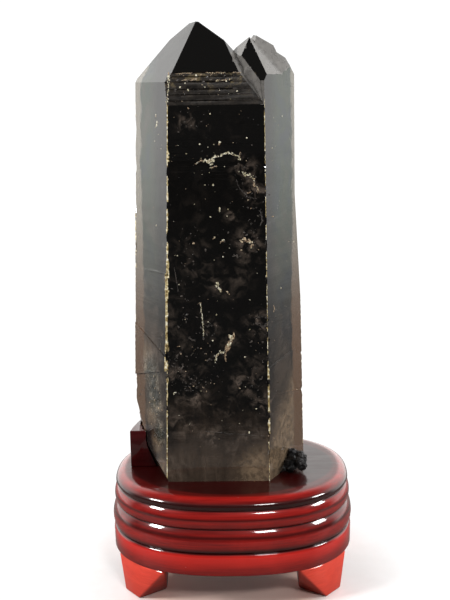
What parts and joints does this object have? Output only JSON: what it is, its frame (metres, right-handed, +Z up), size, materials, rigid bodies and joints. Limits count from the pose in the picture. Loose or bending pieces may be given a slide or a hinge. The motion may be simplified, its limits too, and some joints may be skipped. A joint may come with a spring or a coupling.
{
  "type": "morion quartz crystal on a stand",
  "caption": "Tall near-black smoky quartz crystal with a lower second point, standing on an oval lacquered wooden stand with bracket feet and a low back rest.",
  "frame": {"origin": "on the floor, under the middle of the oval stand", "axes": "+Z up along the crystal, -Y towards the viewer and the crystal's broad front face, +X to the viewer's right"},
  "size_m": [0.1168, 0.0944, 0.2659],
  "materials": {
    "morion_quartz": "glassy crystal faces, nearly black and see-through brown only where thin",
    "red_lacquer": "deep red gloss lacquer over wood grain",
    "foot_lacquer": "brighter red gloss lacquer over wood grain"
  },
  "bodies": {
    "root": {"crystal": "morion_quartz", "stand_base": "red_lacquer", "back_rest": "red_lacquer", "foot_front_left": "foot_lacquer", "foot_front_right": "foot_lacquer", "foot_back_left": "foot_lacquer", "foot_back_right": "foot_lacquer"}
  },
  "joints": []
}
